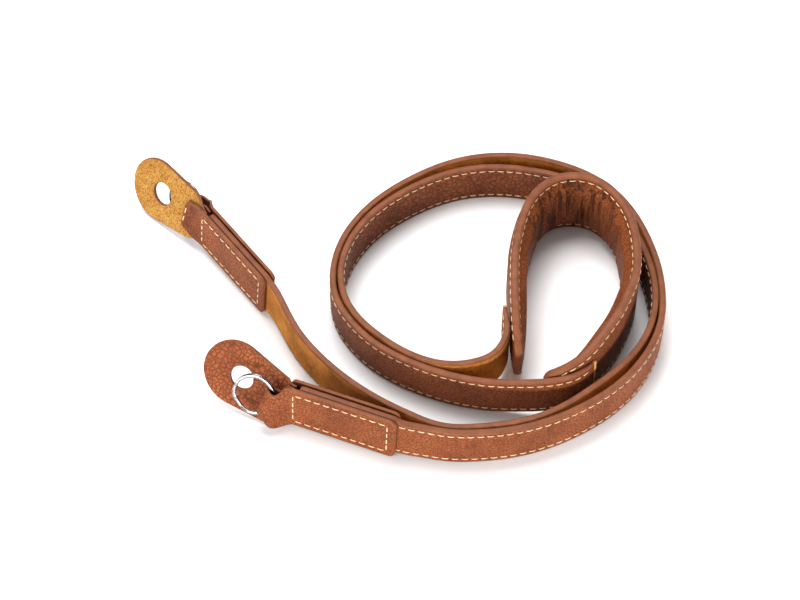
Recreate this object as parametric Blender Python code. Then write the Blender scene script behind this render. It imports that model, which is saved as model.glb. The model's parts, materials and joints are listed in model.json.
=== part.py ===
"""A leather camera neck strap, lying coiled on its edge.

Two narrow straps, each a leather face on a suede back, run side by side round the coil and are
sewn to the outside of a wide padded shoulder piece.  Each free end has a folded leather tab that
holds a split ring, and a protector flap with a round lug hole.  Lengths are in metres, +Z is up,
and the coil's lower edge lies on z = 0.
"""

import math

import bmesh
import bpy
import numpy as np
from mathutils import Vector

# Coil as it lies, outside to outside of the outer strap's middle line
COIL_LENGTH = 0.1122
COIL_DEPTH = 0.1185

# Straps
STRAP_WIDTH = 0.0165
STRAP_FACE = 0.0012
STRAP_BACK = 0.0007
EDGE_CHAMFER = 0.0004
STATION_STEP = 0.0046

# Gap between pieces that touch
GAP = 0.0003

# Shoulder piece
PAD_WIDTH = 0.0280
PAD_FACE = 0.0012
PAD_LINING = 0.0013
PAD_FACE_CROWN = 0.0012
PAD_LINING_CROWN = 0.0030
PAD_STEP = 0.0036
SEWN_LENGTH = 0.0200

# End tabs
TAB_MARGIN = 0.00125
TAB_WIDTH = STRAP_WIDTH + 2 * TAB_MARGIN
TAB_PLY = 0.0011
TAB_LENGTH = 0.0362
STRAP_SET_BACK = 0.0017
TAB_CORNER = 0.0020
LOOP_WALL = 0.0011
LOOP_WIDTH = 0.0094
LOOP_SKIVED = 0.0008
LOOP_FOOT_WIDTH = 0.0165
COVER_END_WIDTH = 0.0112
COVER_END_CORNER = 0.0016
COVER_END_REACH = 0.0012
COVER_END_GAP = 0.0005

# Protector flaps
FLAP_LEATHER = 0.0013
FLAP_SKIVED = 0.0008
FLAP_RADIUS = 0.0118
FLAP_FOOT_WIDTH = 0.0160
FLAP_NECK_WIDTH = 0.0196
HOLE_RADIUS = 0.00415
HOLE_BACK = 0.0025
LOOP_BACK = 0.0155

# Split rings
RING_OUTSIDE = 0.0148
RING_WIRE_RADIAL = 0.0011
RING_WIRE_AXIAL = 0.00075
RING_WIRE_CHAMFER = 0.000225
RING_COIL_GAP = 0.0001
RING_RUN = 0.00025

# Ring wire: steps to a turn, steps in which it crosses to its second turn, steps that the second
# turn stops short of the end, and the start angle in degrees
RING_TURN_STEPS = 26
RING_CROSSING_STEPS = 3
RING_OPEN_STEPS = 4
RING_START_ANGLE = -105.0

STRAP_THICKNESS = STRAP_FACE + GAP + STRAP_BACK
STRAP_OVERLAP = TAB_LENGTH - STRAP_SET_BACK
PAD_EDGE = PAD_FACE + GAP + PAD_LINING

# Plan of the outer strap from its tab to the shoulder piece, as shares of the coil's length and depth
OUTER_ROUTE = (
    ("x", "y"),
    (-0.238, -0.488),
    (-0.162, -0.500),
    (-0.068, -0.500),
    (0.025, -0.489),
    (0.127, -0.462),
    (0.225, -0.418),
    (0.326, -0.353),
    (0.407, -0.273),
    (0.463, -0.184),
    (0.492, -0.099),
    (0.500, -0.019),
    (0.496, 0.065),
    (0.473, 0.172),
    (0.434, 0.273),
    (0.377, 0.359),
    (0.299, 0.425),
    (0.194, 0.473),
    (0.085, 0.498),
    (-0.029, 0.498),
    (-0.144, 0.470),
    (-0.256, 0.413),
    (-0.358, 0.337),
    (-0.431, 0.254),
    (-0.479, 0.162),
    (-0.500, 0.061),
    (-0.491, -0.027),
    (-0.455, -0.101),
    (-0.389, -0.179),
    (-0.309, -0.237),
    (-0.225, -0.278),
    (-0.135, -0.310),
    (-0.029, -0.334),
    (0.047, -0.342),
)

# The inner strap's own stretch from its tab to where it meets the outer strap
INNER_START = (
    ("x", "y"),
    (-0.638, -0.090),
    (-0.596, -0.164),
    (-0.541, -0.233),
    (-0.474, -0.300),
    (-0.407, -0.354),
    (-0.340, -0.398),
    (-0.274, -0.434),
)

# Where the inner strap lies beside the outer one: share of the outer strap's length from its tab,
# and the open gap between them as a share of the strap's width
INNER_BESIDE = (
    ("along", "gap"),
    (0.035, 0.03),
    (0.065, 0.02),
    (0.100, 0.02),
    (0.135, 0.05),
    (0.170, 0.12),
    (0.205, 0.11),
    (0.240, 0.06),
    (0.280, 0.02),
    (0.320, 0.02),
    (0.360, 0.06),
    (0.400, 0.12),
    (0.440, 0.17),
    (0.480, 0.21),
    (0.520, 0.19),
    (0.560, 0.13),
    (0.600, 0.08),
    (0.640, 0.04),
    (0.680, 0.02),
    (0.720, 0.02),
    (0.760, 0.03),
    (0.800, 0.06),
)

# The inner strap's own stretch from there to the shoulder piece
INNER_END = (
    ("x", "y"),
    (-0.118, -0.275),
    (-0.074, -0.270),
    (-0.039, -0.259),
    (-0.010, -0.239),
    (0.011, -0.208),
    (0.022, -0.172),
)

# Plan of the shoulder piece from its left tip to its right tip
PAD_ROUTE = (
    ("x", "y"),
    (0.058, -0.251),
    (0.052, -0.190),
    (0.048, -0.110),
    (0.048, -0.019),
    (0.054, 0.070),
    (0.072, 0.160),
    (0.100, 0.240),
    (0.147, 0.303),
    (0.199, 0.335),
    (0.245, 0.341),
    (0.291, 0.334),
    (0.340, 0.303),
    (0.385, 0.243),
    (0.411, 0.170),
    (0.420, 0.080),
    (0.413, -0.010),
    (0.388, -0.082),
    (0.352, -0.156),
    (0.316, -0.208),
    (0.274, -0.259),
    (0.215, -0.302),
    (0.165, -0.317),
    (0.127, -0.320),
)

# Shoulder piece along its length: share of the length, share of the full width, shares of the
# outer and of the inner crown, and the drop of its middle line as a share of the width
PAD_SHAPE = (
    ("along", "width", "outer", "inner", "drop"),
    (0.000, 0.34, 0.0, 0.0, 0.075),
    (0.004, 0.45, 0.0, 0.0, 0.072),
    (0.012, 0.54, 0.0, 0.1, 0.066),
    (0.025, 0.61, 0.0, 0.4, 0.055),
    (0.060, 0.73, 0.0, 0.8, 0.030),
    (0.110, 0.88, 0.0, 1.0, 0.006),
    (0.160, 0.97, 0.6, 1.0, 0.000),
    (0.220, 1.00, 1.0, 1.0, 0.000),
    (0.420, 1.00, 1.0, 1.0, 0.000),
    (0.520, 1.00, 0.0, 1.0, 0.000),
    (0.780, 1.00, 0.0, 1.0, 0.000),
    (0.840, 0.97, 0.0, 1.0, 0.000),
    (0.890, 0.88, 0.0, 1.0, 0.006),
    (0.940, 0.73, 0.0, 0.8, 0.030),
    (0.975, 0.61, 0.0, 0.4, 0.055),
    (0.988, 0.54, 0.0, 0.1, 0.066),
    (0.996, 0.45, 0.0, 0.0, 0.072),
    (1.000, 0.34, 0.0, 0.0, 0.075),
)

# Shoulder piece across its width: shares of the half width at which its two sides have points,
# and the powers that shape their crowns
PAD_ACROSS = {
    "face": (-1.0, -0.75, 0.0, 0.75, 1.0),
    "lining": (-1.0, -0.8, -0.45, 0.0, 0.45, 0.8, 1.0),
}
CROWN_POWER = {"face": 2, "lining": 4}

# Where each strap meets the shoulder piece, as shares of the sewn length from its tip
SEWN_SHARES = {
    "outer": (0.35, 0.60, 0.87),
    "inner": (0.75, 1.00),
}

# How far each strap rises towards the middle of the shoulder piece: distance from its sewn end as
# a share of the sewn length, and the rise as a share of the full rise
STRAP_RISE = (
    ("back", "rise"),
    (0.0, 0.60),
    (0.6, 0.56),
    (1.0, 0.47),
    (1.4, 0.32),
    (1.9, 0.14),
    (2.5, 0.03),
    (3.0, 0.00),
)

# How much of a strap's thickness is left towards its sewn end, where it is pared down: distance
# from that end as a share of the sewn length, and the share of the thickness
STRAP_PARING = (
    ("back", "thickness"),
    (0.00, 0.50),
    (0.20, 0.78),
    (0.45, 1.00),
)

# Each end: plan of the strap at the tab's inner end; heading, pitch and backward lean of the tab
# and of the flap, in degrees; the middle of the flap's round end, as coil shares and a height in
# flap radii; the ring's swing away from the flap in degrees; and the side that the leather face
# is on
ENDS = {
    "outer": {
        "start_share": (-0.302, -0.4745),
        "tab_angles": (159.2, 1.0, 3.1),
        "flap_angles": (148.2, 13.4, 30.7),
        "flap_share": (-0.7820, -0.2775, 1.043),
        "swing_angle": 7.5,
        "face_side": 1,
    },
    "inner": {
        "start_share": (-0.696, 0.0124),
        "tab_angles": (128.1, 3.2, 3.3),
        "flap_angles": (137.2, 0.1, 22.7),
        "flap_share": (-1.058, 0.3986, 0.962),
        "swing_angle": 0.0,
        "face_side": -1,
    },
}

# Stations on the way from a tab's stitched end to its loop, as shares of the way, and the part of
# the way in which the strip narrows
BRIDGE_SHARES = (0.0, 0.2, 0.4, 0.55, 0.7, 0.85, 0.93)
NARROWING_SHARES = {"outer": (0.45, 1.0), "inner": (0.10, 0.90)}

# Rounded front of a tab: distance from its inner end as a share of the corner, and the share of
# the corner that is cut off each side there
TAB_FRONT = (
    ("along", "cut"),
    (0.00, 1.0),
    (0.25, 0.3),
    (1.00, 0.0),
)

# Length over which a strap comes down from its tab to the floor, in strap widths
LOWERING_SHARE = 2.6

# Fineness: parts of a spline between two points, steps of the loop, of the leaf's round end, of
# each of its straight sides and of its neck
SPLINE_PARTS = 24
LOOP_PARTS = 8
LEAF_ARC_PARTS = 20
LEAF_SIDE_PARTS = 4
LEAF_NECK_PARTS = 5
SMOOTH_ANGLE = 35.0

# Material colours, roughness and metal
LEATHER = ((0.35, 0.11, 0.045), 0.55, 0.0)
SUEDE = ((0.45, 0.22, 0.05), 0.90, 0.0)
CORK = ((0.75, 0.40, 0.10), 0.85, 0.0)
STEEL = ((0.75, 0.75, 0.76), 0.22, 1.0)


def rows(table):
    """Rows of a table without its column names."""
    return table[1:]


def column(table, name):
    """One named column of a table as an array."""
    place = table[0].index(name)
    return np.array([row[place] for row in rows(table)])


def plan(table):
    """Plan points of a route in metres."""
    return np.column_stack((column(table, "x") * COIL_LENGTH, column(table, "y") * COIL_DEPTH))


def ease(share):
    """Smooth step from 0 to 1."""
    share = min(1.0, max(0.0, share))
    return share * share * (3 - 2 * share)


def hermite(first, last, leaving, arriving, share):
    """A point on the cubic way between two points, with its slopes at both."""
    turn = ease(share)
    return (first * (1 - turn) + leaving * (share * (1 - share)**2)
            + last * turn - arriving * (share**2 * (1 - share)))


def spline(points, step, heading=None):
    """Evenly spaced points on a smooth cubic curve through the given points.

    With a heading, the curve leaves its first point in that direction.
    """
    points = np.asarray(points, float)
    chord = np.linalg.norm(np.diff(points, axis=0), axis=1)
    count = len(points)
    system = np.zeros((count, count))
    right = np.zeros((count, 2))
    for i in range(1, count - 1):
        before, after = chord[i - 1], chord[i]
        system[i, i - 1:i + 2] = (after, 2 * (before + after), before)
        slope_before = (points[i] - points[i - 1]) / before
        slope_after = (points[i + 1] - points[i]) / after
        right[i] = 3 * (after * slope_before + before * slope_after)
    if heading is None:
        system[0, :2] = (2, 1)
        right[0] = 3 * (points[1] - points[0]) / chord[0]
    else:
        system[0, 0] = 1
        right[0] = heading
    system[-1, -2:] = (1, 2)
    right[-1] = 3 * (points[-1] - points[-2]) / chord[-1]
    slopes = np.linalg.solve(system, right)
    fine = [hermite(points[i], points[i + 1], chord[i] * slopes[i], chord[i] * slopes[i + 1], share)
            for i in range(count - 1)
            for share in np.linspace(0, 1, SPLINE_PARTS, endpoint=False)]
    fine = np.array([*fine, points[-1]])
    length = arc_lengths(fine)
    total = max(2, round(length[-1] / step))
    even = np.linspace(0, length[-1], total + 1)
    return np.column_stack([np.interp(even, length, fine[:, axis]) for axis in (0, 1)])


def arc_lengths(line):
    """Distance along a line at each of its points."""
    return np.concatenate(([0.0], np.cumsum(np.linalg.norm(np.diff(line, axis=0), axis=1))))


def side_normals(line):
    """Unit normals of a plan line, to the right of its direction."""
    tangent = np.gradient(line, axis=0)
    tangent /= np.linalg.norm(tangent, axis=1)[:, None]
    return np.column_stack((tangent[:, 1], -tangent[:, 0]))


def beside(line, distances, offsets):
    """Points at given distances along a line, moved to the left of it by the offsets."""
    length = arc_lengths(line)
    normal = side_normals(line)
    found = []
    for distance, offset in zip(distances, offsets):
        place = np.array([np.interp(distance, length, line[:, axis]) for axis in (0, 1)])
        side = np.array([np.interp(distance, length, normal[:, axis]) for axis in (0, 1)])
        found.append(place - side / np.linalg.norm(side) * offset)
    return np.array(found)


def axes(heading, pitch, lean):
    """Along, up and out directions of a strip that heads, pitches and leans back by angles.

    The out direction is to the left of the heading; the strip's top leans away from the viewer.
    """
    heading, pitch, lean = (math.radians(value) for value in (heading, pitch, lean))
    along = Vector((math.cos(heading) * math.cos(pitch), math.sin(heading) * math.cos(pitch),
                    math.sin(pitch)))
    level = Vector((-math.sin(heading), math.cos(heading), 0.0))
    upright = level.cross(along) if level.cross(along).z > 0 else along.cross(level)
    up = upright * math.cos(lean) - level * math.sin(lean)
    return along, up, up.cross(along)


class Frame:
    """A place with its along, up and out directions."""

    def __init__(self, origin, along, up, out):
        self.origin = Vector(origin)
        self.along = Vector(along)
        self.up = Vector(up)
        self.out = Vector(out)

    def at(self, along, up, out):
        """The point at those distances from the place."""
        return self.origin + self.along * along + self.up * up + self.out * out

    def moved(self, along):
        """The same frame, moved along."""
        return Frame(self.at(along, 0, 0), self.along, self.up, self.out)


def between(first, last, share):
    """A frame on the smooth way from one frame to another, by share of the way."""
    turn = ease(share)
    reach = (last.origin - first.origin).length
    origin = hermite(first.origin, last.origin, first.along * reach, last.along * reach, share)
    along = first.along.lerp(last.along, turn).normalized()
    up = first.up.lerp(last.up, turn)
    up = (up - along * up.dot(along)).normalized()
    return Frame(origin, along, up, up.cross(along))


def material(name, look):
    """A Principled material of one colour, roughness and metal."""
    colour, roughness, metal = look
    made = bpy.data.materials.new(name)
    made.use_nodes = True
    shader = made.node_tree.nodes["Principled BSDF"]
    shader.inputs["Base Color"].default_value = (*colour, 1.0)
    shader.inputs["Roughness"].default_value = roughness
    shader.inputs["Metallic"].default_value = metal
    return made


def add_object(name, vertices, faces, look):
    """A closed, outward-facing object from vertices and faces."""
    mesh = bpy.data.meshes.new(name)
    mesh.from_pydata([tuple(vertex) for vertex in vertices], [], faces)
    shape = bmesh.new()
    shape.from_mesh(mesh)
    bmesh.ops.triangulate(shape, faces=[face for face in shape.faces if len(face.verts) > 3])
    bmesh.ops.recalc_face_normals(shape, faces=shape.faces)
    shape.to_mesh(mesh)
    shape.free()
    mesh.shade_smooth()
    mesh.set_sharp_from_angle(angle=math.radians(SMOOTH_ANGLE))
    mesh.materials.append(material(name + "_look", look))
    made = bpy.data.objects.new(name, mesh)
    bpy.context.scene.collection.objects.link(made)
    return made


def sweep(name, frames, sections, look):
    """A solid through one section of (out, up) points at each frame, capped at both ends."""
    sides = len(sections[0])
    vertices = [frame.at(0.0, up, out) for frame, section in zip(frames, sections)
                for out, up in section]
    faces = []
    for i in range(len(frames) - 1):
        for j in range(sides):
            k = (j + 1) % sides
            faces.append((i * sides + j, i * sides + k, (i + 1) * sides + k, (i + 1) * sides + j))
    faces.append(tuple(range(sides)))
    faces.append(tuple((len(frames) - 1) * sides + j for j in range(sides)))
    return add_object(name, vertices, faces, look)


def slab(name, points, faces, back, front, look):
    """A solid between two copies of a flat pattern, joined round every open edge."""
    count = len(points)
    vertices = [back(*point) for point in points] + [front(*point) for point in points]
    edges = {}
    for face in faces:
        for first, second in zip(face, face[1:] + face[:1]):
            edges[(first, second)] = edges.get((first, second), 0) + 1
    solid = [tuple(face) for face in faces]
    solid += [tuple(index + count for index in reversed(face)) for face in faces]
    for first, second in edges:
        if (second, first) not in edges:
            solid.append((second, first, first + count, second + count))
    return add_object(name, vertices, solid, look)


def end_frames(end):
    """Frames of one end: the tab's inner end, its stitched end, the loop and the flap."""
    info = ENDS[end]
    along, up, out = axes(*info["tab_angles"])
    start = info["start_share"]
    height = TAB_WIDTH / 2 * up.z + (STRAP_THICKNESS / 2 + GAP + TAB_PLY) * abs(out.z)
    tab = Frame((start[0] * COIL_LENGTH, start[1] * COIL_DEPTH, height), along, up, out)
    stitched = tab.moved(TAB_LENGTH)
    x, y, radii = info["flap_share"]
    flap = Frame((x * COIL_LENGTH, y * COIL_DEPTH, radii * FLAP_RADIUS), *axes(*info["flap_angles"]))
    return tab, stitched, flap.moved(-LOOP_BACK), flap


def strap_line(end):
    """Plan line of a strap from its tab's inner end to its sewn end."""
    info = ENDS[end]
    start = np.array([info["start_share"][0] * COIL_LENGTH, info["start_share"][1] * COIL_DEPTH])
    heading = math.radians(info["tab_angles"][0])
    leaving = -np.array([math.cos(heading), math.sin(heading)])
    pad = pad_line()
    pad_length = arc_lengths(pad)[-1]
    seat = PAD_EDGE / 2 + GAP + STRAP_THICKNESS / 2
    sewn = np.array(SEWN_SHARES[end]) * SEWN_LENGTH
    if end == "outer":
        own = plan(OUTER_ROUTE)
        last = beside(pad, pad_length - sewn, [seat] * len(sewn))
    else:
        outer = strap_line("outer")
        shares = column(INNER_BESIDE, "along") * arc_lengths(outer)[-1]
        offsets = column(INNER_BESIDE, "gap") * STRAP_WIDTH + STRAP_THICKNESS
        own = np.vstack((plan(INNER_START), beside(outer, shares, offsets), plan(INNER_END)))
        last = beside(pad, sewn, [seat] * len(sewn))
    return spline(np.vstack((start, own, last)), STATION_STEP, leaving)


def pad_line():
    """Plan line of the shoulder piece from its left tip to its right tip."""
    return spline(plan(PAD_ROUTE), PAD_STEP)


def strap_frames(end):
    """Frames of a strap from inside its tab, along the coil, to its sewn end."""
    tab = end_frames(end)[0]
    line = strap_line(end)
    length = arc_lengths(line)
    fall = np.clip(1 - length / (LOWERING_SHARE * STRAP_WIDTH), 0, 1)**2
    back = (length[-1] - length) / SEWN_LENGTH
    rise = np.interp(back, column(STRAP_RISE, "back"), column(STRAP_RISE, "rise"))
    full_rise = (PAD_WIDTH - STRAP_WIDTH) / 2
    height = STRAP_WIDTH / 2 + (tab.origin.z - STRAP_WIDTH / 2) * fall + full_rise * rise
    slope = np.gradient(height, length)
    normal = side_normals(line)
    frames = [tab.moved(STRAP_OVERLAP * share) for share in (1.0, 0.75, 0.5, 0.25)]
    lean = math.radians(ENDS[end]["tab_angles"][2])
    for i, point in enumerate(line):
        out = Vector((normal[i, 0], normal[i, 1], 0.0))
        along = Vector((normal[i, 1], -normal[i, 0], -slope[i])).normalized()
        up = Vector((0.0, 0.0, 1.0)) - out * math.tan(lean * fall[i])
        up = (up - along * up.dot(along)).normalized()
        frames.append(Frame((point[0], point[1], height[i]), along, up, up.cross(along)))
    return frames


def strap_paring(frames):
    """Share of the strap's thickness that is left at each of its frames."""
    length = arc_lengths(np.array([tuple(frame.origin) for frame in frames]))
    back = (length[-1] - length) / SEWN_LENGTH
    return np.interp(back, column(STRAP_PARING, "back"), column(STRAP_PARING, "thickness"))


def make_strap(end):
    """The leather face and the suede back of one strap."""
    face = ENDS[end]["face_side"]
    frames = strap_frames(end)
    half = STRAP_WIDTH / 2
    outside = STRAP_THICKNESS / 2
    seam = outside - STRAP_FACE
    leather = [(face * seam, -half), (face * (outside - EDGE_CHAMFER), -half),
               (face * outside, EDGE_CHAMFER - half), (face * outside, half - EDGE_CHAMFER),
               (face * (outside - EDGE_CHAMFER), half), (face * seam, half)]
    suede = [(-face * outside, -half), (face * (seam - GAP), -half),
             (face * (seam - GAP), half), (-face * outside, half)]
    for name, section, look in (("face", leather, LEATHER), ("back", suede, SUEDE)):
        sections = [[(left * (out + outside) - outside, up) for out, up in section]
                    for left in strap_paring(frames)]
        sweep(f"strap_{end}_{name}", frames, sections, look)


def make_pad():
    """The shoulder piece: a leather face outside and a padded lining inside."""
    line = pad_line()
    length = arc_lengths(line)
    normal = side_normals(line)
    along_share = np.union1d(length / length[-1], column(PAD_SHAPE, "along"))
    shape = {name: np.interp(along_share, column(PAD_SHAPE, "along"), column(PAD_SHAPE, name))
             for name in ("width", "outer", "inner", "drop")}
    frames = []
    for i, share in enumerate(along_share):
        x, y, across_x, across_y = (np.interp(share * length[-1], length, values)
                                    for values in (*line.T, *normal.T))
        out = Vector((across_x, across_y, 0.0)).normalized()
        up = Vector((0.0, 0.0, 1.0))
        height = PAD_WIDTH * (0.5 - shape["drop"][i])
        frames.append(Frame((x, y, height), out.cross(up), up, out))
    outside = -PAD_EDGE / 2
    seam = outside + PAD_FACE
    face_sections = []
    lining_sections = []
    for width, outer, inner in zip(shape["width"], shape["outer"], shape["inner"]):
        half = PAD_WIDTH * width / 2
        outer_crown = [(PAD_FACE_CROWN * outer * (1 - abs(v)**CROWN_POWER["face"]), v * half)
                       for v in PAD_ACROSS["face"]]
        inner_crown = [(PAD_LINING_CROWN * inner * (1 - abs(v)**CROWN_POWER["lining"]), v * half)
                       for v in PAD_ACROSS["lining"]]
        face_sections.append([(outside - crown, up) for crown, up in outer_crown]
                             + [(seam, half), (seam, -half)])
        lining_sections.append([(crown - outside, up) for crown, up in inner_crown]
                               + [(seam + GAP, half), (seam + GAP, -half)])
    sweep("shoulder_pad_face", frames, face_sections, LEATHER)
    sweep("shoulder_pad_lining", frames, lining_sections, LEATHER)


def ring_sizes():
    """Middle radius of a ring, its arc's depth inside the loop, and the loop's two radii."""
    middle = (RING_OUTSIDE - RING_WIRE_RADIAL) / 2
    depth = middle - math.sqrt(middle**2 - (LOOP_WIDTH / 2)**2)
    thick = 2 * RING_WIRE_AXIAL + RING_COIL_GAP
    inside = math.hypot((depth + RING_WIRE_RADIAL) / 2, thick / 2) + RING_RUN
    return middle, depth, inside, inside + LOOP_WALL


def tab_front(tab):
    """Frames and half widths from a tab's rounded inner end to its stitched end."""
    half = TAB_WIDTH / 2
    front = [(tab.moved(share * TAB_CORNER), half - cut * TAB_CORNER)
             for share, cut in zip(column(TAB_FRONT, "along"), column(TAB_FRONT, "cut"))]
    return front + [(tab.moved(TAB_LENGTH / 2), half), (tab.moved(TAB_LENGTH), half)]


def make_tab(end):
    """A tab's strip: over the strap's face, round the ring and back under it."""
    face = ENDS[end]["face_side"]
    tab, stitched, loop, _ = end_frames(end)
    inside, outside = ring_sizes()[2:]
    seat = STRAP_THICKNESS / 2 + GAP
    loop_middle = FLAP_LEATHER / 2 + GAP + outside
    half = TAB_WIDTH / 2
    neck = LOOP_WIDTH / 2
    narrow_from, narrow_to = NARROWING_SHARES[end]
    narrowed = {share: ease((share - narrow_from) / (narrow_to - narrow_from)) for share in BRIDGE_SHARES}
    rows = [(frame, seat + TAB_PLY, seat, width, 0.0, 0.0) for frame, width in tab_front(tab)]
    for share in BRIDGE_SHARES[1:]:
        smooth = ease(share)
        rows.append((between(stitched, loop, share),
                     (seat + TAB_PLY) * (1 - smooth) + (loop_middle + outside) * smooth,
                     seat * (1 - smooth) + (loop_middle + inside) * smooth,
                     half + (neck - half) * narrowed[share], 0.0, 0.0))
    for turn in np.linspace(math.pi / 2, -math.pi / 2, LOOP_PARTS + 1):
        rows.append((loop, loop_middle + outside * math.sin(turn), loop_middle + inside * math.sin(turn),
                     neck, outside * math.cos(turn), inside * math.cos(turn)))
    skived_outside = STRAP_THICKNESS / 2 - LOOP_SKIVED
    for share in reversed(BRIDGE_SHARES):
        smooth = ease(share)
        rows.append((between(stitched, loop, share),
                     skived_outside * (1 - smooth) + (loop_middle - outside) * smooth,
                     STRAP_THICKNESS / 2 * (1 - smooth) + (loop_middle - inside) * smooth,
                     LOOP_FOOT_WIDTH / 2 + (neck - LOOP_FOOT_WIDTH / 2) * narrowed[share], 0.0, 0.0))
    vertices = []
    for frame, first, second, width, along, along_second in rows:
        for out, along_here, side in ((first, along, -1), (second, along_second, -1),
                                      (second, along_second, 1), (first, along, 1)):
            vertices.append(frame.at(along_here, side * width, face * out))
    faces = [(0, 1, 2, 3)]
    for i in range(len(rows) - 1):
        for j in range(4):
            k = (j + 1) % 4
            faces.append((4 * i + j, 4 * i + k, 4 * i + 4 + k, 4 * i + 4 + j))
    last = 4 * (len(rows) - 1)
    faces.append((last, last + 1, last + 2, last + 3))
    add_object(f"tab_{end}", vertices, faces, LEATHER)


def make_cover(end):
    """The cover on a tab's other side, which ends over the flap's neck."""
    face = ENDS[end]["face_side"]
    tab, stitched, loop, _ = end_frames(end)
    seat = STRAP_THICKNESS / 2 + GAP
    half = TAB_WIDTH / 2
    rows = [(frame, seat, width) for frame, width in tab_front(tab)]
    for share in BRIDGE_SHARES[1:]:
        smooth = ease(share)
        rows.append((between(stitched, loop, share),
                     seat * (1 - smooth) + (FLAP_LEATHER / 2 + COVER_END_GAP) * smooth,
                     half + (COVER_END_WIDTH / 2 - half) * smooth))
    for left, cut in zip(column(TAB_FRONT, "along")[::-1], column(TAB_FRONT, "cut")[::-1]):
        rows.append((loop.moved(COVER_END_REACH - left * COVER_END_CORNER),
                     FLAP_LEATHER / 2 + COVER_END_GAP, COVER_END_WIDTH / 2 - cut * COVER_END_CORNER))
    sections = [[(-face * near, -width), (-face * (near + TAB_PLY), -width),
                 (-face * (near + TAB_PLY), width), (-face * near, width)]
                for _, near, width in rows]
    sweep(f"cover_{end}", [frame for frame, _, _ in rows], sections, LEATHER)


def leaf_outline():
    """Outline of a flap's leaf from a neck corner round its end, and back across the neck."""
    neck = FLAP_NECK_WIDTH / 2
    corner = math.hypot(LOOP_BACK, neck)
    touch = math.atan2(neck, -LOOP_BACK) - math.acos(FLAP_RADIUS / corner)
    meet_along, meet_up = FLAP_RADIUS * math.cos(touch), FLAP_RADIUS * math.sin(touch)
    side = [(-LOOP_BACK + (meet_along + LOOP_BACK) * share, neck + (meet_up - neck) * share)
            for share in np.linspace(0, 1, LEAF_SIDE_PARTS, endpoint=False)]
    arc = [(FLAP_RADIUS * math.cos(turn), FLAP_RADIUS * math.sin(turn))
           for turn in np.linspace(-touch, touch, LEAF_ARC_PARTS + 1)]
    across = [(-LOOP_BACK, neck - 2 * neck * step / LEAF_NECK_PARTS) for step in range(1, LEAF_NECK_PARTS)]
    return [(along, -up) for along, up in side] + arc + side[::-1] + across


def make_flap(end):
    """A protector flap: a round leaf with a lug hole and a foot sewn into the tab."""
    face = ENDS[end]["face_side"]
    _, stitched, loop, flap = end_frames(end)
    foot_middle = -(STRAP_THICKNESS / 2 - FLAP_SKIVED / 2)
    points = [("foot", share, side) for share in BRIDGE_SHARES for side in (-1, 1)]
    faces = []
    outline = leaf_outline()
    first = len(points)
    for along, up in outline:
        points.append(("leaf", along, up))
    hole = len(points)
    count = len(outline)
    for along, up in outline:
        turn = math.atan2(up, along + HOLE_BACK)
        points.append(("leaf", -HOLE_BACK + HOLE_RADIUS * math.cos(turn), HOLE_RADIUS * math.sin(turn)))
    for i in range(len(BRIDGE_SHARES) - 1):
        faces.append((2 * i, 2 * i + 2, 2 * i + 3, 2 * i + 1))
    foot_last = 2 * len(BRIDGE_SHARES) - 2
    neck_row = [first + i for i in range(count - 1, count - LEAF_NECK_PARTS - 1, -1)]
    faces.append((foot_last, first, *neck_row, foot_last + 1))
    for i in range(count):
        k = (i + 1) % count
        faces.append((first + i, first + k, hole + k, hole + i))

    def surface(side):
        def place(kind, first_value, second_value):
            if kind == "leaf":
                return flap.at(first_value, second_value, side * FLAP_LEATHER / 2)
            smooth = ease(first_value)
            middle = foot_middle * face * (1 - smooth)
            thick = FLAP_SKIVED + (FLAP_LEATHER - FLAP_SKIVED) * smooth
            half = (FLAP_FOOT_WIDTH + (FLAP_NECK_WIDTH - FLAP_FOOT_WIDTH) * smooth) / 2
            frame = between(stitched, loop, first_value)
            return frame.at(0, second_value * half, middle + side * thick / 2)
        return place

    slab(f"flap_{end}", points, faces, surface(-1), surface(1), CORK)


def make_ring(end):
    """A split ring: two turns of flat wire, standing in its loop."""
    face = ENDS[end]["face_side"]
    loop = end_frames(end)[2]
    middle, depth, _, outside = ring_sizes()
    swing = math.radians(ENDS[end]["swing_angle"])
    axis = loop.at(0, 0, face * (FLAP_LEATHER / 2 + GAP + outside))
    away = loop.along * math.cos(swing) + loop.out * (face * math.sin(swing))
    through = loop.up.cross(away)
    centre = axis + away * (middle - depth / 2)
    pitch = RING_WIRE_AXIAL + RING_COIL_GAP
    cut = RING_WIRE_CHAMFER
    last = RING_TURN_STEPS * 2 - RING_OPEN_STEPS
    vertices = []
    radial = RING_WIRE_RADIAL / 2
    axial = RING_WIRE_AXIAL / 2
    section = [(-radial, -axial + cut), (-radial + cut, -axial), (radial - cut, -axial),
               (radial, -axial + cut), (radial, axial - cut), (radial - cut, axial),
               (-radial + cut, axial), (-radial, axial - cut)]
    for step in range(last + 1):
        turn = math.radians(RING_START_ANGLE) - 2 * math.pi * step / RING_TURN_STEPS
        out = away * math.cos(turn) + loop.up * math.sin(turn)
        crossed = (step - (RING_TURN_STEPS - RING_CROSSING_STEPS)) / RING_CROSSING_STEPS
        level = pitch * (ease(crossed) - 0.5)
        for across, high in section:
            vertices.append(centre + out * (middle + across) + through * (level + high))
    sides = len(section)
    faces = [tuple(range(sides)), tuple(last * sides + j for j in range(sides))]
    for i in range(last):
        for j in range(sides):
            k = (j + 1) % sides
            faces.append((i * sides + j, i * sides + k, (i + 1) * sides + k, (i + 1) * sides + j))
    made = add_object(f"ring_{end}", [vertex - axis for vertex in vertices], faces, STEEL)
    made.location = axis


def clear_scene():
    """Remove what the file holds."""
    for old in list(bpy.data.objects):
        bpy.data.objects.remove(old, do_unlink=True)


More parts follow.
